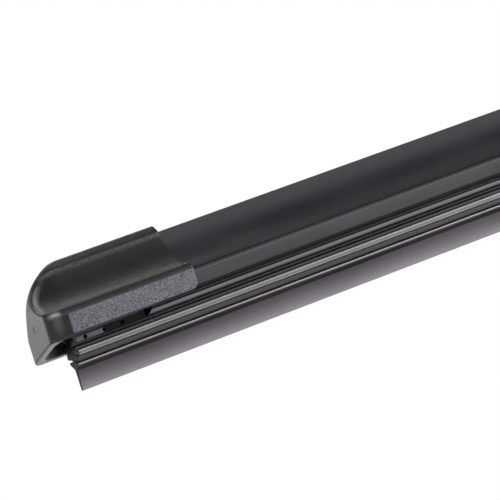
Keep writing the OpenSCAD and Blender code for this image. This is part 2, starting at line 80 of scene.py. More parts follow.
SPOILER_RISE = 12.8
SPOILER_EDGE_WIDTH = 0.8
SPOILER_EDGE_BACK = 4.9
SPOILER_EDGE_RADIUS = 0.2
SPOILER_FRONT = 7.0
SPOILER_BACK = 5.6
CREST_RISE = 4.9
HOLLOW_RADIUS = 15.2
SPOILER_CREST_RADIUS = 1.0
SKIRT_RISE = 1.4
FOOT_WALL = 1.15
FOOT_LIP = 0.6
FOOT_LIP_HEIGHT = 1.0
FOOT_LIP_TILT = 0.25
FOOT_LIP_DRAFT = 0.15
FOOT_LIP_TOP = 1.4
FOOT_CUT_TOP = 1.5
FOOT_CUT_REACH = 0.5
FOOT_CUT_SLANT = 1.2
GRIP_THICKNESS = 0.7
FIT_GAP = 0.15

CAP_WALL = 1.2
HOLLOW_WALL = 0.8
NOSE_RADIUS = 11.4
NOSE_UPRIGHT = 5.73
NOSE_LEAN = 4.4
NOSE_LEAN_RADIUS = 12.6
NOSE_TURN = 34.8
NOSE_BEND_RADIUS = 4.0
NOSE_FRONT_DROP = 0.8
NOSE_FRONT_LENGTH = 4.8
NOSE_BACK_RADIUS = 2.17
NOSE_FRONT_RADIUS = 2.3
NOSE_RIM_WIDTH = 0.5
NOSE_WALL = 2.0
RIM_HEIGHT = 0.5
RIM_WIDTH = 1.3
RIM_EDGE_RADIUS = 0.7
TOP_BEVEL_TILT = 58
TOP_BEVEL_DROP = 0.1
CREST_WIDTH = 2.6
CREST_RADIUS = 1.7
CAP_TOP_RADIUS = 1.2
CAP_BEND_RADIUS = 3
CAP_BACK_DROP = 5.0
CAP_FRONT_RISE = 0.9
MOUTH_CORNER_RADIUS = 1.8
CLIP_LIP_LENGTH = 6.0

# Levels, from the tip of the lip
WEDGE_Z = LIP_HEIGHT + WEDGE_SLOPE_HEIGHT
WEB_Z = WEDGE_Z + WEDGE_EDGE_HEIGHT
SHOULDER_Z = WEB_Z + WEB_HEIGHT
RAIL_Z = SHOULDER_Z + SHOULDER_HEIGHT
FLANGE_Z = RAIL_Z + RAIL_THICKNESS
NECK_Z = FLANGE_Z + FLANGE_HEIGHT
HEAD_Z = NECK_Z + NECK_HEIGHT
HEAD_TOP = HEAD_Z + HEAD_HEIGHT
SPOILER_HEIGHT = HEAD_TOP + SPOILER_RISE
CREST_HEIGHT = HEAD_TOP + CREST_RISE
SKIRT_HEIGHT = HEAD_TOP + SKIRT_RISE

# Where the frame puts the blade: the lip's tip is the rubber's lowest point
rubber_low, rubber_high = (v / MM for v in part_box("wiper_rubber"))
cap_low, cap_high = (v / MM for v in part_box("right_end_cap"))
clip_low, clip_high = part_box("right_end_clip")
LIP_TIP = rubber_low.z
NOSE_X = cap_high.x
MOUTH_X = cap_low.x
CLIP_START = clip_low.x / MM
CLIP_END = clip_high.x / MM
CLIP_TOP = clip_high.z / MM - LIP_TIP


# Outlines in a plane


def rounded(corners, steps=8):
    """A closed outline of [a, b, radius] corners, each radius cut to an arc."""
    points = []
    for i, (a, b, radius) in enumerate(corners):
        here = np.array([a, b], float)
        if radius <= 0:
            points.append(here)
            continue
        to_last = np.array(corners[i - 1][:2], float) - here
        to_next = np.array(corners[(i + 1) % len(corners)][:2], float) - here
        to_last /= np.linalg.norm(to_last)
        to_next /= np.linalg.norm(to_next)
        half = math.acos(np.clip(to_last @ to_next, -1, 1)) / 2
        middle = to_last + to_next
        centre = here + middle / np.linalg.norm(middle) * radius / math.sin(half)
        start = here + to_last * radius / math.tan(half) - centre
        end = here + to_next * radius / math.tan(half) - centre
        first = math.atan2(start[1], start[0])
        sweep = (math.atan2(end[1], end[0]) - first + math.pi) % (2 * math.pi) - math.pi
        for k in range(steps + 1):
            angle = first + sweep * k / steps
            points.append(centre + radius * np.array([math.cos(angle), math.sin(angle)]))
    return np.array(points)


def mirrored(corners):
    """The same corners on the other side, in the order that closes the outline."""
    return [[-a, b, radius] for a, b, radius in reversed(corners)]


# Corners of half a section: distance from the middle plane, level and radius of the rounding
rubber_side = [
    [LIP_TIP_WIDTH / 2, 0, 0.12],
    [LIP_ROOT_WIDTH / 2, LIP_HEIGHT, 0.3],
    [WEDGE_WIDTH / 2, WEDGE_Z, 0.08],
    [WEDGE_WIDTH / 2 - WEDGE_DRAFT, WEB_Z, 0.08],
    [WEB_WIDTH / 2, WEB_Z, 0.1],
    [WEB_WIDTH / 2, SHOULDER_Z, 0.1],
    [SHOULDER_WIDTH / 2, SHOULDER_Z, 0.15],
    [SHOULDER_WIDTH / 2, RAIL_Z - SHOULDER_BEVEL, 0.15],
    [SHOULDER_WIDTH / 2 - SHOULDER_BEVEL, RAIL_Z, 0],
    [WAIST_WIDTH / 2, RAIL_Z, 0],
    [WAIST_WIDTH / 2, FLANGE_Z, 0],
    [FLANGE_WIDTH / 2, FLANGE_Z, 0.08],
    [FLANGE_WIDTH / 2, NECK_Z, 0.2],
    [NECK_WIDTH / 2, NECK_Z, 0.1],
    [NECK_WIDTH / 2, HEAD_Z, 0],
    [HEAD_WIDTH / 2, HEAD_Z, 0.2],
    [HEAD_WIDTH / 2, HEAD_TOP, 0.4],
]

# The hollow face is one arc from the top edge to the crest, and the cap's arcs share its centre
hollow_top = np.array([SPOILER_EDGE_BACK - SPOILER_EDGE_WIDTH, SPOILER_HEIGHT])
hollow_foot = np.array([-SPOILER_FRONT, CREST_HEIGHT])
chord = hollow_top - hollow_foot
chord_length = np.linalg.norm(chord)
chord_normal = np.array([-chord[1], chord[0]]) / chord_length
chord_distance = math.sqrt(HOLLOW_RADIUS**2 - (chord_length / 2) ** 2)
HOLLOW_CENTRE = (hollow_top + hollow_foot) / 2 + chord_normal * chord_distance


def hollow_level(radius, y):
    """Height of an arc about the centre of the hollow face, at distance y from the middle plane."""
    return HOLLOW_CENTRE[1] - math.sqrt(radius**2 - (y - HOLLOW_CENTRE[0]) ** 2)


def hollow_arc(radius, z_start, y_end, steps=32):
    """Points of such an arc from height z_start at the top down to distance y_end at the front."""
    y, z = HOLLOW_CENTRE
    first = math.asin((z_start - z) / radius)
    last = -math.acos((y_end - y) / radius)
    angles = [first + (last - first) * k / steps for k in range(steps + 1)]
    return [[y + radius * math.cos(a), z + radius * math.sin(a), 0] for a in angles]


CHANNEL_HALF = HEAD_WIDTH / 2 + FIT_GAP
CHANNEL_Z = HEAD_Z - FIT_GAP
CHANNEL_TOP = HEAD_TOP + FIT_GAP
GRIP_HALF = NECK_WIDTH / 2 + 2 * FIT_GAP
FOOT_HALF = CHANNEL_HALF + FOOT_WALL
FOOT_LIP_HALF = FOOT_HALF + FOOT_LIP

channel_side = [[CHANNEL_HALF, CHANNEL_TOP, 0], [CHANNEL_HALF, CHANNEL_Z, 0]]
foot_side = [
    [GRIP_HALF, CHANNEL_Z, 0],
    [GRIP_HALF, CHANNEL_Z - GRIP_THICKNESS, 0.15],
    [FOOT_LIP_HALF, CHANNEL_Z + FOOT_LIP_TILT, 0.25],
    [FOOT_LIP_HALF - FOOT_LIP_DRAFT, CHANNEL_Z + FOOT_LIP_HEIGHT, 0.25],
    [FOOT_HALF, CHANNEL_Z + FOOT_LIP_TOP, 0.15],
]
spoiler_arc = hollow_arc(HOLLOW_RADIUS, SPOILER_HEIGHT, -SPOILER_FRONT)
spoiler_arc[0][2] = SPOILER_EDGE_RADIUS
spoiler_arc[-1][2] = SPOILER_CREST_RADIUS
spoiler_section = (
    channel_side
    + foot_side
    + [[SPOILER_BACK, SKIRT_HEIGHT, 0.5], [SPOILER_EDGE_BACK, SPOILER_HEIGHT, 0.3]]
    + spoiler_arc
    + [[-SPOILER_FRONT, SKIRT_HEIGHT, 0.4]]
    + mirrored(foot_side)
    + mirrored(channel_side)
)


# Meshes

SHARP_ANGLE = 40


def new_piece(name, vertices, faces, slot, node):
    """A smooth-shaded mesh in millimetres that rides on the blade and stands for a CAD node."""
    mesh = bpy.data.meshes.new(name)
    mesh.from_pydata([tuple(v) for v in np.asarray(vertices) * MM], [], faces)
    mesh.validate()
    mesh.update()
    mesh.shade_smooth()
    mesh.set_sharp_from_angle(angle=math.radians(SHARP_ANGLE))
    piece = bpy.data.objects.new(name, mesh)
    bpy.context.scene.collection.objects.link(piece)
    mesh.materials.append(materials[slot])
    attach(piece, "blade")
    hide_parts(node)
    return piece


def extrusion(outline, x_start, x_end, chamfer=0.06):
    """Vertices and faces of a counterclockwise (y, z) outline drawn out along X, its ends chamfered."""
    outline = np.array(outline, float)
    outline[:, 1] += LIP_TIP
    along = np.roll(outline, -1, axis=0) - np.roll(outline, 1, axis=0)
    along /= np.linalg.norm(along, axis=1)[:, None]
    shrunk = outline + np.stack([-along[:, 1], along[:, 0]], axis=1) * chamfer
    rings = [
        (x_start, shrunk),
        (x_start + chamfer, outline),
        (x_end - chamfer, outline),
        (x_end, shrunk),
    ]
    vertices = [(x, y, z) for x, ring in rings for y, z in ring]
    count = len(outline)
    last = (len(rings) - 1) * count
    faces = []
    for start in range(0, last, count):
        for i in range(count):
            j = (i + 1) % count
            faces.append((start + count + i, start + count + j, start + j, start + i))
    faces.append(tuple(range(count)))
    faces.append(tuple(range(last, last + count))[::-1])
    return vertices, faces


# Signed distance fields, for forms with soft edges


def outline_distance(outline, a, b):
    """Signed distance, negative inside, from points (a, b) to a closed outline. The arrays broadcast."""
    a, b = np.broadcast_arrays(a, b)
    best = np.full(a.shape, np.inf)
    inside = np.zeros(a.shape, bool)
    for (a0, b0), (a1, b1) in zip(outline, np.roll(outline, -1, axis=0)):
        da, db = a1 - a0, b1 - b0
        length = da * da + db * db
        if length < 1e-12:
            continue
        t = np.clip(((a - a0) * da + (b - b0) * db) / length, 0, 1)
        best = np.minimum(best, (a - a0 - t * da) ** 2 + (b - b0 - t * db) ** 2)
        if db != 0:
            inside ^= ((b0 > b) != (b1 > b)) & (a < a0 + da * (b - b0) / db)
    return np.where(inside, -1, 1) * np.sqrt(best)


def both(a, b, blend):
    """The intersection of two fields, with its edge rounded over the width blend."""
    near = np.maximum(blend - np.abs(a - b), 0) / blend
    return np.maximum(a, b) + near * near * blend / 4


def without(a, b, blend):
    """Field a with b taken out, with the edge rounded."""
    return both(a, -b, blend)


def surface_net(field, low, cell):
    """Vertices and quads of the zero surface of a field sampled on a regular grid."""
    inside = field < 0
    size = np.array(field.shape) - 1
    offsets = list(itertools.product((0, 1), repeat=3))

    def corner(values, o):
        return values[o[0] : size[0] + o[0], o[1] : size[1] + o[1], o[2] : size[2] + o[2]]

    count = sum(corner(inside, o).astype(np.int8) for o in offsets)
    mixed = (count > 0) & (count < 8)
    index = np.full(mixed.shape, -1)
    index[mixed] = np.arange(mixed.sum())
    values = {o: corner(field, o)[mixed] for o in offsets}
    total = np.zeros((mixed.sum(), 3))
    hits = np.zeros(mixed.sum())
    for a, b in itertools.combinations(offsets, 2):
        if sum(abs(p - q) for p, q in zip(a, b)) != 1:
            continue
        crossed = (values[a] < 0) != (values[b] < 0)
        share = values[a][crossed] / (values[a][crossed] - values[b][crossed])
        total[crossed] += np.array(a) + share[:, None] * (np.array(b) - np.array(a))
        hits[crossed] += 1
    cells = np.argwhere(mixed)
    vertices = np.array(low) + cell * (cells + total / hits[:, None])
    faces = []
    for axis in range(3):
        u, v = (axis + 1) % 3, (axis + 2) % 3
        step = [slice(None)] * 3
        ahead = [slice(None)] * 3
        step[axis] = slice(0, field.shape[axis] - 1)
        ahead[axis] = slice(1, field.shape[axis])
        here, there = inside[tuple(step)], inside[tuple(ahead)]
        edges = np.argwhere(here != there)
        at_u, at_v = edges[:, u], edges[:, v]
        edges = edges[(at_u > 0) & (at_v > 0) & (at_u < size[u]) & (at_v < size[v])]
        ring = []
        for du, dv in ((0, 0), (1, 0), (1, 1), (0, 1)):
            cell_at = edges.copy()
            cell_at[:, u] -= du
            cell_at[:, v] -= dv
            ring.append(index[tuple(cell_at.T)])
        quads = np.stack(ring, axis=1)
        outward = here[tuple(edges.T)]
        quads[~outward] = quads[~outward][:, ::-1]
        faces.append(quads)
    return vertices, np.concatenate(faces)


# End caps, worked out for the end at +X

CAP_FRONT = SPOILER_FRONT + CAP_WALL
CAP_BACK = SPOILER_BACK + CAP_WALL
CAP_TOP = SPOILER_HEIGHT + CAP_WALL + 2 * FIT_GAP
DISH_RADIUS = HOLLOW_RADIUS - HOLLOW_WALL
RIM_RADIUS = DISH_RADIUS - RIM_HEIGHT
CREST_Y = CREST_WIDTH - CAP_FRONT
RIM_CREST = hollow_level(RIM_RADIUS, CREST_Y)
CAP_BACK_HEIGHT = HEAD_TOP - CAP_BACK_DROP
CAP_FRONT_HEIGHT = HEAD_TOP + CAP_FRONT_RISE

# Outlines run this far past the sides that they leave open, and splay there so that they don't touch
FAR = 20
SIDE_SPLAY = 8.0
PLAN_SPLAY = 6.0
LEAN_SPLAY = 30.0
NOSE_STEPS = 24
PLAN_STEPS = 16
LEAN_BLEND = 2.0
LEAST_BACK_RADIUS = 0.2

# The front's shallow arc. Its last points give way to the rounded front corner.
FRONT_ARC_STEPS = 8
FRONT_ARC_POINTS = 6

CELL = 0.26
GRID_MARGIN = 0.6
GRID_MARGIN_BELOW = 0.8


def nose_side(inset):
    """Side view of the nose, in (x, z), pulled in by inset."""
    x = NOSE_X - inset
    return rounded(
        [
            [MOUTH_X - FAR, -FAR, 0],
            [x, -FAR, 0],
            [x, CAP_TOP - inset, NOSE_RADIUS - inset],
            [MOUTH_X - FAR, CAP_TOP - inset + SIDE_SPLAY, 0],
        ],
        NOSE_STEPS,
    )


def nose_plan(inset):
    """Plan view of the nose, in (x, y). Its front face turns in to the nose by a shallow arc."""
    x = NOSE_X - inset
    front = inset - CAP_FRONT
    radius = (NOSE_FRONT_LENGTH**2 + NOSE_FRONT_DROP**2) / (2 * NOSE_FRONT_DROP)
    turn = math.asin(NOSE_FRONT_LENGTH / radius)
    arc = []
    for k in range(FRONT_ARC_POINTS):
        angle = turn * k / FRONT_ARC_STEPS
        forward, inward = radius * math.sin(angle), radius * (1 - math.cos(angle))
        arc.append([x - NOSE_FRONT_LENGTH + forward, front + inward, 0])
    return rounded(
        [[MOUTH_X - FAR, front - PLAN_SPLAY, 0]]
        + arc
        + [
            [x, front + NOSE_FRONT_DROP, NOSE_FRONT_RADIUS],
            [x, CAP_BACK - inset, max(LEAST_BACK_RADIUS, NOSE_BACK_RADIUS - inset)],
            [MOUTH_X - FAR, CAP_BACK - inset + PLAN_SPLAY, 0],
        ],
        PLAN_STEPS,
    )


def nose_lean_side(inset):
    """Profile of the back corner that leans in, in the upright plane turned by NOSE_TURN."""
    turn = math.radians(NOSE_TURN)
    reach = NOSE_X * math.cos(turn) + CAP_BACK * math.sin(turn)
    reach -= NOSE_BACK_RADIUS * (math.cos(turn) + math.sin(turn) - 1) + inset
    return rounded(
        [
            [0, -FAR, 0],
            [reach, -FAR, 0],
            [reach, CAP_BACK_HEIGHT + NOSE_UPRIGHT, NOSE_BEND_RADIUS],
            [reach - NOSE_LEAN, CAP_TOP - inset, NOSE_LEAN_RADIUS - inset],
            [0, CAP_TOP - inset + LEAN_SPLAY, 0],
        ],
        NOSE_STEPS,
    )


def nose_field(x, y, z, inset, blend):
    """The nose's form. Its top and sides are splayed past the cap's, so that only the nose counts."""
    turn = math.radians(NOSE_TURN)
    side = outline_distance(nose_side(inset), x, z)
    plan = outline_distance(nose_plan(inset), x, y)
    lean = outline_distance(nose_lean_side(inset), x * math.cos(turn) + y * math.sin(turn), z)
    return both(both(side, plan, blend), lean, blend=LEAN_BLEND)


def cap_form(x, y, z):
    """The cap's outer form without its dish: the section, the nose, the mouth and the top's bevel."""
    rim = hollow_arc(RIM_RADIUS, CAP_TOP, CREST_Y)
    rim[0][2] = RIM_EDGE_RADIUS
    section = rounded(
        [
            [-CAP_FRONT, -FAR, 0],
            [CAP_BACK, -FAR, 0],
            [CAP_BACK, SKIRT_HEIGHT, CAP_BEND_RADIUS],
            [SPOILER_EDGE_BACK + CAP_WALL, CAP_TOP, CAP_TOP_RADIUS],
        ]
        + rim
        + [[-CAP_FRONT, RIM_CREST, CREST_RADIUS]]
    )
    form = both(outline_distance(section, y, z), nose_field(x, y, z, 0, blend=0.3), blend=0.65)
    form = both(form, MOUTH_X - x, blend=0.35)
    tilt = math.radians(TOP_BEVEL_TILT)
    bevel_z = CAP_TOP - RIM_WIDTH - TOP_BEVEL_DROP
    bevel_y = HOLLOW_CENTRE[0] + math.sqrt(RIM_RADIUS**2 - (bevel_z - HOLLOW_CENTRE[1]) ** 2)
    return both(form, (bevel_y - y) * math.cos(tilt) + (z - bevel_z) * math.sin(tilt), blend=0.25)


def dish_form(x, y, z):
    """The dish, which stops at the crest, below the top and short of the nose."""
    dish = np.hypot(y - HOLLOW_CENTRE[0], z - HOLLOW_CENTRE[1]) - DISH_RADIUS
    dish = both(dish, CREST_Y - y, blend=1.5)
    dish = both(dish, z - (CAP_TOP - RIM_WIDTH), blend=1.0)
    return both(dish, nose_field(x, y, z, NOSE_RIM_WIDTH, blend=0.5), blend=1.6)


def inner_form(x, y, z):
    """The cap's inner space: the spoiler's own section with a sliding gap, less the two ribs."""
    section = rounded(
        [
            [-SPOILER_FRONT - FIT_GAP, -FAR, 0],
            [SPOILER_BACK + FIT_GAP, -FAR, 0],
            [SPOILER_BACK + FIT_GAP, SKIRT_HEIGHT, 0],
            [SPOILER_EDGE_BACK + FIT_GAP, SPOILER_HEIGHT + FIT_GAP, 0],
        ]
        + hollow_arc(HOLLOW_RADIUS - FIT_GAP, SPOILER_HEIGHT + FIT_GAP, -SPOILER_FRONT - FIT_GAP)
    )
    inside = both(outline_distance(section, y, z), nose_field(x, y, z, NOSE_WALL, blend=0.2), blend=2.6)
    for rib in (CLIP_START + CAP_WALL, CLIP_END - 2 * CAP_WALL):
        wall = np.maximum(np.abs(x - rib - CAP_WALL / 2) - CAP_WALL / 2, CLIP_TOP + FIT_GAP - z)
        inside = without(inside, wall, blend=0.2)
    return inside


def cap_field(x, y, z):
    """The cap as a field, from arrays of coordinates that broadcast over one axis each."""
    slope = (CAP_FRONT_HEIGHT - CAP_BACK_HEIGHT) / (CAP_FRONT + CAP_BACK)
    below = (z - CAP_FRONT_HEIGHT + slope * (y + CAP_FRONT)) / math.hypot(1, slope)
    corner = np.hypot(
        np.maximum(MOUTH_X + MOUTH_CORNER_RADIUS - x, 0),
        np.maximum(CAP_FRONT_HEIGHT + MOUTH_CORNER_RADIUS - z, 0),
    )
    round_corner = np.maximum(MOUTH_CORNER_RADIUS - corner, y + SPOILER_FRONT)
    shell = without(cap_form(x, y, z), dish_form(x, y, z), blend=0.5)
    shell = without(shell, inner_form(x, y, z), blend=0.25)
    shell = without(shell, below, blend=0.3)
    return np.maximum(shell, -round_corner)


def cap_mesh():
    """Vertices and quads of the cap at +X, in millimetres in the row frame."""
    low = np.array([MOUTH_X - GRID_MARGIN, -CAP_FRONT - GRID_MARGIN, CAP_BACK_HEIGHT - GRID_MARGIN_BELOW])
    high = np.array([NOSE_X + GRID_MARGIN, CAP_BACK + GRID_MARGIN, CAP_TOP + GRID_MARGIN])
    counts = np.ceil((high - low) / CELL).astype(int) + 1
    x, y, z = (low[i] + CELL * np.arange(counts[i]) for i in range(3))
    field = cap_field(x[:, None, None], y[None, :, None], z[None, None, :])
    vertices, faces = surface_net(field, low, CELL)
    vertices[:, 2] += LIP_TIP
    return vertices, faces


# Nodes of the materials


def add(tree, kind, settings=None, **inputs):
    """A node with some of its properties and input values set. An input may be a node's output."""
    node = tree.nodes.new(kind)
    for key, value in (settings or {}).items():
        setattr(node, key, value)
    for key, value in inputs.items():
        socket = node.inputs[int(key[1:]) if key[1:].isdigit() else key.replace("_", " ")]
        if isinstance(value, bpy.types.NodeSocket):
            tree.links.new(value, socket)
        else:
            socket.default_value = value
    return node


def new_material(name, roughness, metallic=0.0, specular=0.5):
    """A material whose plain numbers sit on the shader's own sockets. Returns it with its tree."""
    material = bpy.data.materials.new(name)
    material.use_nodes = True
    tree = material.node_tree
    shader = tree.nodes["Principled BSDF"]
    shader.inputs["Roughness"].default_value = roughness
    shader.inputs["Metallic"].default_value = metallic
    shader.inputs["Specular IOR Level"].default_value = specular
    return material, tree, shader


def feed(tree, shader, **values):
    """Link node outputs to the shader's sockets."""
    for key, value in values.items():
        tree.links.new(value, shader.inputs[key.replace("_", " ")])


def place(tree, stretch=(1, 1, 1)):
    """Object coordinates, in metres, scaled along each axis."""
    coords = add(tree, "ShaderNodeTexCoord").outputs["Object"]
    return add(tree, "ShaderNodeMapping", i0=coords, Scale=stretch).outputs[0]


def split(tree, vector):
    """The three components of a vector."""
    return list(add(tree, "ShaderNodeSeparateXYZ", i0=vector).outputs)


def facing(tree):
    """The components of the surface normal."""
    return split(tree, add(tree, "ShaderNodeTexCoord").outputs["Normal"])


def noise(tree, coords, scale, detail=3.0, roughness=0.5):
    """Cloudy values between 0 and 1."""
    node = add(tree, "ShaderNodeTexNoise", Vector=coords, Scale=scale, Detail=detail, Roughness=roughness)
    return node.outputs["Fac"]


def combined(tree, operation, first, *others):
    """The values joined one after another by a math operation."""
    total = first
    for other in others:
        total = add(tree, "ShaderNodeMath", {"operation": operation}, i0=total, i1=other).outputs[0]
    return total


def product(tree, *values):
    return combined(tree, "MULTIPLY", *values)


def size_of(tree, value):
    """The value without its sign."""
    return add(tree, "ShaderNodeMath", {"operation": "ABSOLUTE"}, i0=value).outputs[0]


def summed(tree, base, extra, share):
    """The base plus a share of the extra value."""
    return add(tree, "ShaderNodeMath", {"operation": "MULTIPLY_ADD"}, i0=extra, i1=share, i2=base).outputs[0]


def spread(tree, value, old, new=(0, 1)):
    """The value moved from the old range to the new one, and held inside it."""
    node = add(tree, "ShaderNodeMapRange", i0=value, i1=old[0], i2=old[1], i3=new[0], i4=new[1])
    return node.outputs[0]


def fading(tree, mask, factor):
    """1 where the mask is 0, down to the factor where it is 1."""
    return spread(tree, mask, (0, 1), (1, factor))


def zone(tree, value, edge, fade):
    """1 below the edge, in millimetres, and 0 past it by the fade. A negative fade turns it round."""
    return spread(tree, value, (edge * MM, (edge + fade) * MM), (1, 0))


def between(tree, value, low, high, fades):
    """1 from low to high, in millimetres, and 0 past them by the two fades."""
    return product(tree, zone(tree, value, low, -fades[0]), zone(tree, value, high, fades[1]))


def blended(tree, share, a, b):
    """A mix of two values by the share of the second."""
    return add(tree, "ShaderNodeMix", i0=share, i2=a, i3=b).outputs[0]


def tinted(tree, share, colour, tint):
    """A mix of two colours by the share of the second. Each is a node's output or a linear colour."""
    a, b = (c if isinstance(c, bpy.types.NodeSocket) else (*c, 1) for c in (colour, tint))
    return add(tree, "ShaderNodeMix", {"data_type": "RGBA"}, i0=share, i6=a, i7=b).outputs[2]


def worn(tree, colour, light, share=0.5):
    """The colour with edges a little lighter, where handling polishes or scuffs them."""
    point = add(tree, "ShaderNodeNewGeometry").outputs["Pointiness"]
    return tinted(tree, spread(tree, point, (0.52, 0.62), (0, share)), colour, light)


def bumps(tree, shader, height, strength, depth):
    """Small relief, its depth in millimetres."""
    bump = add(tree, "ShaderNodeBump", Height=height, Strength=strength, Distance=depth * MM)
    feed(tree, shader, Normal=bump.outputs[0])


def blade_place(tree):
    """Distance from the blade's middle along X, Y, and the level above the lip's tip, all in metres."""
    x, y, z = split(tree, place(tree))
    return size_of(tree, x), y, combined(tree, "SUBTRACT", z, LIP_TIP * MM)


def cut_end(tree):
    """1 on the faces that look along X, where the length was cut off."""
    along = facing(tree)[0]
    return spread(tree, product(tree, along, along), (0.3, 0.6))


# Materials

CUT_RUBBER = (0.004, 0.004, 0.004)
CUT_STEEL = (0.01, 0.009, 0.008)
DEEP_SHADE = (0.008, 0.008, 0.008)
GATE_COLOUR = (0.004, 0.004, 0.004)
GATE_Y = -0.85
GATE_Z = -6.9
GATE_HALF_WIDTH = 0.22
GATE_HALF_HEIGHT = 0.6

# Where the cap's material changes, in millimetres. IN counts from the nose's foremost point towards the
# middle of the blade, and DOWN from the crest or from the cap's top. A pair is a start and an end.
PANEL_DEPTH = 0.55
PANEL_IN = NOSE_FRONT_LENGTH + 0.5
PANEL_LEVELS = (CAP_FRONT_HEIGHT + 0.3, RIM_CREST - CREST_RADIUS + 0.15)
SHADE_IN = NOSE_FRONT_LENGTH - 0.8
CORNER_IN = 7.0
CORNER_DOWN = 3.0
INWARD_IN = 5.0
# Painted highlights near the nose, on the crest and its flat below, and along the dish's upper edge
NOSE_HIGHLIGHT_IN = (2.8, 2.2)
NOSE_HIGHLIGHT_DEPTH = 0.2
EDGE_HIGHLIGHT_IN = (2.8, 1.0)
CREST_HIGHLIGHT_DOWN = (1.05, 0.75)
FLAT_HIGHLIGHT_DOWN = (2.6, 1.4)
TOP_SPARKLE_DOWN = (2.1, 1.5)
TOP_SPARKLE_Y = 4.0
GATE_IN = 1.0


def grained_plastic(name, dark, light, roughness, grain=0.05, specular=0.5, painted_shade_depth=None):
    """Spark-eroded plastic: leathery grain, faint cloudy tone and scuffed edges.

    Nearer to the middle plane than the given depth, behind the clip's lip, it gets painted shade: dark and
    dull, where the clip's recess lies in shadow.
    """
    material, tree, shader = new_material(name, roughness, specular=specular)
    coords = place(tree)
    cloud = noise(tree, coords, 90.0, detail=4.0)
    fine = noise(tree, coords, 2900.0, roughness=0.6)
    tone = spread(tree, summed(tree, cloud, fine, 0.7), (0.6, 1.1))
    colour = worn(tree, tinted(tree, tone, dark, light), [1.6 * c for c in light])
    if painted_shade_depth:
        # Painted shade in the clip's recess: darker and duller behind the lip, near the middle plane
        along, across, _ = blade_place(tree)
        behind_lip = zone(tree, along, CLIP_END - CLIP_LIP_LENGTH - 0.1, 0.1)
        inner = product(tree, zone(tree, size_of(tree, across), painted_shade_depth, 0.1), behind_lip)
        colour = tinted(tree, inner, colour, DEEP_SHADE)
        feed(tree, shader, Specular_IOR_Level=spread(tree, inner, (0, 1), (specular, 0.05)))
    rough = spread(tree, fine, (0.3, 0.7), (roughness - 0.06, roughness + 0.06))
    feed(tree, shader, Base_Color=colour, Roughness=rough)
    bumps(tree, shader, fine, 1.0, grain)
    return material


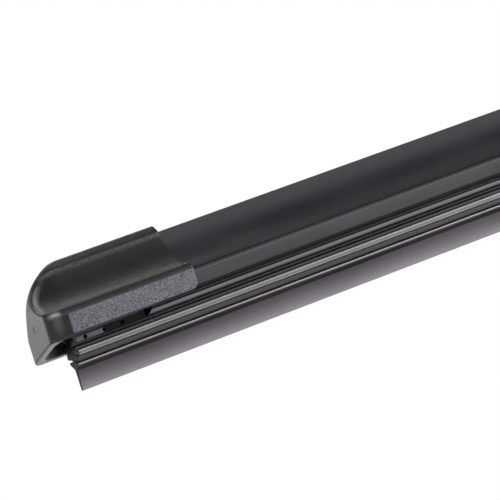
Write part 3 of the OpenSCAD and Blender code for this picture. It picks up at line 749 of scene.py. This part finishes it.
def cap_plastic(name):
    """The cap's plastic: satin all over, with a coarse pale grain on the flat front behind the nose, and
    painted highlights, shade and sheen about the nose.
    """
    material, tree, shader = new_material(name, roughness=0.42)
    coords = place(tree)
    fine = noise(tree, coords, 3400.0, detail=2.0, roughness=0.6)
    coarse = noise(tree, coords, 4600.0, roughness=0.7)
    cloud = noise(tree, coords, 140.0, detail=4.0)
    along, across, level = blade_place(tree)
    along = combined(tree, "ADD", along, spread(tree, coarse, (0.3, 0.7), (-0.2 * MM, 0.2 * MM)))
    toward_end = add(tree, "ShaderNodeMath", {"operation": "SIGN"}, i0=split(tree, coords)[0]).outputs[0]
    normal_x, _, normal_z = facing(tree)

    # The flat front: the grained panel, and the strip between it and the nose, given painted shade as it
    # shines less
    front = between(tree, level, *PANEL_LEVELS, (0.15, 0.25))
    front = product(tree, front, zone(tree, across, PANEL_DEPTH - CAP_FRONT, 0.2))
    panel = product(tree, front, zone(tree, along, NOSE_X - PANEL_IN, 0.3))
    shade = combined(tree, "SUBTRACT", front, panel)
    shade = product(tree, shade, zone(tree, along, NOSE_X - SHADE_IN, 2.5))
    satin = tinted(tree, spread(tree, cloud, (0.3, 0.7)), (0.011, 0.011, 0.012), (0.017, 0.017, 0.018))
    pale = tinted(tree, spread(tree, coarse, (0.38, 0.62)), (0.02, 0.02, 0.026), (0.2, 0.2, 0.225))
    colour = worn(tree, tinted(tree, panel, satin, pale), (0.05, 0.048, 0.048), 0.4)

    # Faces of the rim that look inward at the nose get a painted highlight, lighter and shinier, and the
    # dish's corner above them painted shade, as it shines less
    corner = zone(tree, level, CAP_TOP - CORNER_DOWN, -3.0)
    corner = product(tree, corner, zone(tree, along, NOSE_X - CORNER_IN, -2.5))
    inward = product(
        tree,
        spread(tree, product(tree, normal_x, toward_end), (-0.32, -0.02), (1, 0)),
        zone(tree, along, NOSE_X - INWARD_IN, -1.0),
        fading(tree, corner, 0),
    )

    # Painted highlights: the front is lighter where it meets the nose, most of all on the crest, and the
    # dish's upper edge has a patchy painted sparkle
    crest = between(tree, level, *(RIM_CREST - down for down in CREST_HIGHLIGHT_DOWN), (0.6, 0.5))
    flat = between(tree, level, *(RIM_CREST - down for down in FLAT_HIGHLIGHT_DOWN), (3.0, 0.5))
    near_nose = between(tree, along, *(NOSE_X - back for back in NOSE_HIGHLIGHT_IN), (1.1, 1.4))
    near_nose = product(tree, near_nose, zone(tree, across, CREST_Y - NOSE_HIGHLIGHT_DEPTH, 0.8))
    edge = between(tree, along, *(NOSE_X - back for back in EDGE_HIGHLIGHT_IN), (1.1, 0.5))
    edge = product(tree, crest, edge, zone(tree, across, CREST_Y, 1.2))
    top = between(tree, level, *(CAP_TOP - down for down in TOP_SPARKLE_DOWN), (0.5, 0.3))
    top = product(tree, top, zone(tree, across, TOP_SPARKLE_Y, 0.3), spread(tree, coarse, (0.45, 0.6)))

    # The mark that the mould's gate leaves on each nose
    across_gate = size_of(tree, combined(tree, "SUBTRACT", across, GATE_Y * MM))
    up_gate = size_of(tree, combined(tree, "SUBTRACT", level, (GATE_Z - LIP_TIP) * MM))
    mark = product(
        tree,
        zone(tree, across_gate, GATE_HALF_WIDTH, 0.12),
        zone(tree, up_gate, GATE_HALF_HEIGHT, 0.15),
        zone(tree, along, NOSE_X - GATE_IN, -0.2),
    )
    # Painted highlights near the nose and along the dish's top, the inward faces' painted highlight, and the
    # mould gate's mark
    for share, tint in (
        (edge, (0.11, 0.106, 0.107)),
        (product(tree, near_nose, crest), (0.33, 0.31, 0.32)),
        (product(tree, near_nose, flat), (0.06, 0.056, 0.056)),
        (top, (0.075, 0.07, 0.07)),
        (inward, (0.17, 0.165, 0.167)),
        (mark, GATE_COLOUR),
    ):
        colour = tinted(tree, share, colour, tint)

    # Painted sheen: faces that look along X, at the noses, and faces that look down shine more, and the
    # faces below are smoother still
    nose = spread(tree, product(tree, normal_x, normal_x), (0.04, 0.3))
    below = spread(tree, normal_z, (-0.8, -0.5), (1, 0))
    painted_sheen = combined(tree, "MAXIMUM", nose, below)
    painted_sheen = product(tree, painted_sheen, fading(tree, shade, 0.1), fading(tree, corner, 0.2))
    plain = spread(tree, combined(tree, "MAXIMUM", shade, corner), (0, 1), (0.3, 0.12))
    shine = blended(tree, inward, blended(tree, painted_sheen, plain, 0.5), 1.0)
    rough = blended(tree, below, spread(tree, panel, (0, 1), (0.42, 0.55)), 0.22)
    feed(tree, shader, Base_Color=colour, Roughness=rough)
    feed(tree, shader, Specular_IOR_Level=product(tree, shine, fading(tree, mark, 0.2)))
    bumps(tree, shader, blended(tree, panel, fine, coarse), 1.0, 0.09)
    return material


def extruded_rubber(name, dark, light, roughness, specular=0.5, lip=None, painted_highlight_bands=(), upward=1.0, dull=None):
    """Satin rubber drawn through a die: faint lines along X, a little bloom and dust, dark cut ends.

    The lip of a squeegee is painted darker at its root, in the shade under the wedge, and turns to a lighter
    painted colour towards its tip. Each band is a low and a high level with a painted highlight colour
    between them. Faces that look up shine less by the factor upward, and dull is a low and a high level with
    such a factor between them.
    """
    material, tree, shader = new_material(name, roughness, specular=specular)
    lines = noise(tree, place(tree, (0.012, 1, 1)), 2600.0)
    cloud = noise(tree, place(tree, (0.3, 1, 1)), 160.0, detail=4.0)
    speck = noise(tree, place(tree), 3500.0, detail=2.0, roughness=0.6)
    tone = summed(tree, cloud, lines, 0.6)
    level = blade_place(tree)[2]
    normal_z = facing(tree)[2]
    end = cut_end(tree)
    colour = tinted(tree, spread(tree, tone, (0.55, 1.05)), dark, light)
    # Painted shade and light down the lip: darker under the wedge, lighter towards the tip
    if lip:
        share = spread(tree, level, (0.15 * MM, LIP_HEIGHT * MM), (1, 0))
        share = combined(tree, "POWER", share, 1.6)
        share = product(tree, share, spread(tree, tone, (0.5, 1.1), (0.9, 1.1)))
        colour = tinted(tree, share, colour, lip)
    # Painted highlights in the bands
    for low, high, tint in painted_highlight_bands:
        share = between(tree, level, low, high, (0.1, 0.1))
        share = product(tree, share, spread(tree, tone, (0.5, 1.1), (0.8, 1.0)))
        colour = tinted(tree, share, colour, tint)
    shine = product(
        tree,
        spread(tree, normal_z, (0.88, 0.97), (specular, specular * upward)),
        fading(tree, end, 0.15),
        spread(tree, normal_z, (-0.6, -0.3), (0.15, 1)),
    )
    if dull:
        low, high, factor = dull
        shine = product(tree, shine, fading(tree, between(tree, level, low, high, (0.1, 0.8)), factor))
    rough = spread(tree, cloud, (0.35, 0.65), (roughness - 0.05, roughness + 0.07))
    colour = tinted(tree, end, colour, CUT_RUBBER)
    feed(tree, shader, Base_Color=colour, Roughness=rough, Specular_IOR_Level=shine)
    bumps(tree, shader, summed(tree, lines, speck, 0.4), 0.35, 0.04)
    return material


def coated_metal(name, dark, light, roughness, metallic, draw=(0.02, 1, 1), strip=None):
    """Steel with fine lines along its rolling direction.

    A strip, given by its two levels, has dark sheared ends and painted shade across the middle of its edge,
    which leaves it bright above and below.
    """
    material, tree, shader = new_material(name, roughness, metallic)
    lines = noise(tree, place(tree, draw), 4200.0)
    cloud = noise(tree, place(tree), 220.0, detail=4.0)
    tone = spread(tree, summed(tree, cloud, lines, 0.8), (0.6, 1.2))
    colour = worn(tree, tinted(tree, tone, dark, light), [1.3 * c for c in light])
    if strip:
        half = (strip[1] - strip[0]) / 2
        height = combined(tree, "SUBTRACT", blade_place(tree)[2], sum(strip) / 2 * MM)
        # Painted shade across the middle of the strip's edge
        middle = zone(tree, size_of(tree, height), 0.25 * half, 0.4 * half)
        colour = tinted(tree, spread(tree, middle, (0, 1), (0, 0.7)), colour, dark)
        end = cut_end(tree)
        colour = tinted(tree, end, colour, CUT_STEEL)
        feed(tree, shader, Metallic=spread(tree, end, (0, 1), (metallic, 0)))
        feed(tree, shader, Specular_IOR_Level=spread(tree, end, (0, 1), (0.5, 0.1)))
    rough = spread(tree, lines, (0.3, 0.7), (roughness - 0.08, roughness + 0.08))
    feed(tree, shader, Base_Color=colour, Roughness=rough)
    bumps(tree, shader, lines, 0.3, 0.02)
    return material


materials = {
    name: make(name, **looks)
    for name, make, looks in (
        ("squeegee_rubber", extruded_rubber, dict(
            dark=(0.018, 0.0145, 0.018), light=(0.033, 0.028, 0.033), roughness=0.44, specular=0.42,
            # Painted light down the lip, and a painted highlight along the wedge's edge just below the web
            lip=(0.22, 0.204, 0.223), painted_highlight_bands=[(WEB_Z - 0.2, WEB_Z - 0.08, (0.4, 0.39, 0.39))],
        )),
        ("spoiler_rubber", extruded_rubber, dict(
            dark=(0.0125, 0.012, 0.0145), light=(0.0205, 0.02, 0.0235), roughness=0.3, upward=0.4,
            # A painted highlight along the foot's lip
            painted_highlight_bands=[(CHANNEL_Z - 0.1, CHANNEL_Z + FOOT_LIP_HEIGHT, (0.07, 0.068, 0.07))],
            dull=(SKIRT_HEIGHT - 0.2, CREST_HEIGHT + 1.0, 0.78),
        )),
        ("cap_plastic", cap_plastic, {}),
        ("clip_plastic", grained_plastic, dict(
            dark=(0.04, 0.04, 0.042), light=(0.06, 0.06, 0.063), roughness=0.5, grain=0.02,
            # Painted shade in the recess behind the clip's lip
            painted_shade_depth=FOOT_LIP_HALF - 0.2,
        )),
        ("cover_plastic", grained_plastic, dict(
            dark=(0.022, 0.022, 0.024), light=(0.04, 0.04, 0.042), roughness=0.66, specular=0.15,
        )),
        ("adapter_plastic", grained_plastic, dict(
            dark=(0.02, 0.02, 0.021), light=(0.033, 0.033, 0.034), roughness=0.55, grain=0.01,
            specular=0.25,
        )),
        ("spring_steel", coated_metal, dict(
            dark=(0.075, 0.075, 0.077), light=(0.2, 0.2, 0.205), roughness=0.4, metallic=0.6,
            strip=(RAIL_Z, FLANGE_Z),
        )),
        ("coated_steel", coated_metal, dict(
            dark=(0.04, 0.04, 0.042), light=(0.065, 0.065, 0.068), roughness=0.42, metallic=0.2,
            draw=(1, 1, 1),
        )),
        ("pin_steel", coated_metal, dict(
            dark=(0.45, 0.45, 0.46), light=(0.6, 0.6, 0.61), roughness=0.28, metallic=1.0,
            draw=(1, 0.02, 1),
        )),
    )
}


# Pieces

rubber = rounded(rubber_side + mirrored(rubber_side), 12)
new_piece("squeegee", *extrusion(rubber, rubber_low.x, rubber_high.x), "squeegee_rubber", "wiper_rubber")

for node in ("front_rail", "rear_rail"):
    low, high = (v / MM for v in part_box(node))
    z0, z1 = low.z - LIP_TIP, high.z - LIP_TIP
    corners = ((low.y, z0), (high.y, z0), (high.y, z1), (low.y, z1))
    strip = rounded([[y, z, RAIL_EDGE_RADIUS] for y, z in corners], 4)
    new_piece(node + "_strip", *extrusion(strip, low.x, high.x, RAIL_CHAMFER), "spring_steel", node)

spoiler_outline = rounded(spoiler_section, 16)
for side in ("left", "right"):
    low, high = (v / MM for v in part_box(side + "_spoiler"))
    vertices, faces = extrusion(spoiler_outline, low.x, high.x)
    vertices = np.array(vertices)
    # The lip of the foot is cut at a slant next to the clip
    outer_end = low.x if side == "left" else high.x
    levels = vertices[:, 2] - LIP_TIP
    at_end = np.abs(vertices[:, 0] - outer_end) < FOOT_CUT_REACH
    cut = FOOT_CUT_SLANT * np.maximum(levels - CHANNEL_Z, 0)
    vertices[:, 0] -= np.where(at_end & (levels < CHANNEL_Z + FOOT_CUT_TOP), np.sign(outer_end) * cut, 0)
    new_piece(side + "_wind_spoiler", vertices, faces, "spoiler_rubber", side + "_spoiler")

cap_vertices, cap_faces = cap_mesh()
for side, sign in (("left", -1), ("right", 1)):
    faces = cap_faces if sign > 0 else cap_faces[:, ::-1]
    vertices = cap_vertices * (sign, 1, 1)
    new_piece(side + "_moulded_cap", vertices, faces.tolist(), "cap_plastic", side + "_end_cap")

# These CAD nodes stay as they are, with their edges softened
WELD_DISTANCE = 0.01
SOFT_EDGE_WIDTH = 0.25
SOFT_EDGE_ANGLE = 35
for node, slot in (
    ("left_end_clip", "clip_plastic"),
    ("right_end_clip", "clip_plastic"),
    ("connector_base", "coated_steel"),
    ("connector_cover", "cover_plastic"),
    ("pivot_pin", "pin_steel"),
    ("hook_adapter", "adapter_plastic"),
):
    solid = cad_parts[node]
    for material_slot in solid.material_slots:
        material_slot.material = materials[slot]
    weld = solid.modifiers.new("weld", "WELD")
    weld.merge_threshold = WELD_DISTANCE * MM
    bevel = solid.modifiers.new("soft edges", "BEVEL")
    bevel.width = SOFT_EDGE_WIDTH * MM
    bevel.segments = 2
    bevel.limit_method = "ANGLE"
    bevel.angle_limit = math.radians(SOFT_EDGE_ANGLE)
    bevel.use_clamp_overlap = True
    bevel.harden_normals = True


# Floor and world

FLOOR_HALF = 4.0
FLOOR_DROP = 320
CAMERA_RAYS = ["Is Camera Ray", "Is Transmission Ray"]


def seen_as_white(tree, rays, plain_shader, output):
    """The rays of these kinds see white, and the rest see the plain shader."""
    path = add(tree, "ShaderNodeLightPath")
    either = combined(tree, "MAXIMUM", *(path.outputs[ray] for ray in rays))
    white = add(tree, "ShaderNodeEmission", Color=(1, 1, 1, 1), Strength=1.0)
    mix = add(tree, "ShaderNodeMixShader", i0=either, i1=plain_shader, i2=white.outputs[0])
    tree.links.new(mix.outputs[0], output.inputs["Surface"])


def towards(tree, direction, inner, outer):
    """1 where the world is looked at within the angle inner of a direction, and 0 past outer."""
    seen = add(tree, "ShaderNodeTexCoord").outputs["Generated"]
    aim = Vector(direction).normalized()
    dot = add(tree, "ShaderNodeVectorMath", {"operation": "DOT_PRODUCT"}, i0=seen, i1=aim).outputs["Value"]
    return add(
        tree, "ShaderNodeMapRange", {"interpolation_type": "SMOOTHSTEP"},
        i0=dot, i1=math.cos(math.radians(outer)), i2=math.cos(math.radians(inner)), i3=0.0, i4=1.0,
    ).outputs[0]


floor_mesh = bpy.data.meshes.new("floor")
floor_z = (LIP_TIP - FLOOR_DROP) * MM
floor_corners = [(x * FLOOR_HALF, y * FLOOR_HALF, floor_z) for x, y in ((-1, -1), (1, -1), (1, 1), (-1, 1))]
floor_mesh.from_pydata(floor_corners, [], [(0, 1, 2, 3)])
floor = bpy.data.objects.new("floor", floor_mesh)
bpy.context.scene.collection.objects.link(floor)

floor_material, tree, diffuse = new_material("floor", roughness=0.9)
floor_tone = noise(tree, place(tree), 3.0, detail=2.0)
feed(tree, diffuse, Base_Color=tinted(tree, floor_tone, (0.86, 0.86, 0.86), (0.9, 0.9, 0.9)))
seen_as_white(tree, CAMERA_RAYS + ["Is Glossy Ray"], diffuse.outputs[0], tree.nodes["Material Output"])
floor_mesh.materials.append(floor_material)

# The studio: a white backdrop all round up to a low height, dim above it and at the front left, with
# four soft glows. Each has a direction, the angles to its even part and to its rim, and a strength.
world = bpy.data.worlds.new("studio")
bpy.context.scene.world = world
world.use_nodes = True
tree = world.node_tree
room = tree.nodes["Background"]
backdrop = towards(tree, (0, 0, -1), 96, 106)
flag = towards(tree, (-0.70, -0.70, -0.05), 38, 62)
glow = product(tree, backdrop, fading(tree, flag, 0.06))
for direction, inner, outer, strength in (
    ((0.404, -0.58, 0.71), 12, 30, 1.1),
    ((0.404, -0.9, 0.15), 6, 20, 3.0),
    ((0.404, 0.85, 0.3), 5, 40, 0.25),
    ((0, 0, 1), 40, 100, 0.2),
):
    glow = combined(tree, "ADD", glow, product(tree, towards(tree, direction, inner, outer), strength))
feed(tree, room, Strength=glow)
room.inputs["Color"].default_value = (1.0, 0.98, 1.03, 1)
seen_as_white(tree, CAMERA_RAYS, room.outputs[0], tree.nodes["World Output"])


# Camera and lamps

AZIMUTH, ELEVATION, ROLL = -26.0, 7.37, -16.618
DISTANCE = 0.5994
LENS = 209.94
TARGET = Vector((-0.155403, 0, -0.006822))
LAMP_DISTANCE = 1.3

azimuth, elevation, roll = map(math.radians, (AZIMUTH, ELEVATION, ROLL))
level_back = Vector((math.sin(azimuth), -math.cos(azimuth), 0))
back = level_back * math.cos(elevation) + Vector((0, 0, math.sin(elevation)))
right = Vector((math.cos(azimuth), math.sin(azimuth), 0))
up = back.cross(right)
tilted_right = right * math.cos(roll) + up * math.sin(roll)
tilted_up = -right * math.sin(roll) + up * math.cos(roll)

camera_data = bpy.data.cameras.new("camera")
camera_data.sensor_width = 36
camera_data.lens = LENS
camera_data.clip_start = 0.01
camera_data.clip_end = 20
camera = bpy.data.objects.new("camera", camera_data)
turned = Matrix((tilted_right, tilted_up, back)).transposed()
camera.matrix_world = Matrix.Translation(TARGET + back * DISTANCE) @ turned.to_4x4()
bpy.context.scene.collection.objects.link(camera)
bpy.context.scene.camera = camera

# Each lamp is an area lamp that looks at the target: its side, size and power
for name, offset, width, height, power in (
    ("right", (0.85, -0.5, 0.12), 0.8, 0.7, 14.0),
    ("behind", (0.05, 0.64, 0.77), 0.6, 0.3, 8.0),
    ("left", (-0.75, 0.6, 0.05), 0.8, 0.6, 9.0),
):
    lamp = bpy.data.lights.new(name, "AREA")
    lamp.shape = "RECTANGLE"
    lamp.size = width
    lamp.size_y = height
    lamp.energy = power
    holder = bpy.data.objects.new(name, lamp)
    holder.location = TARGET + LAMP_DISTANCE * Vector(offset)
    holder.rotation_euler = (TARGET - holder.location).to_track_quat("-Z", "Y").to_euler()
    bpy.context.scene.collection.objects.link(holder)

bpy.context.scene.view_settings.view_transform = "Standard"
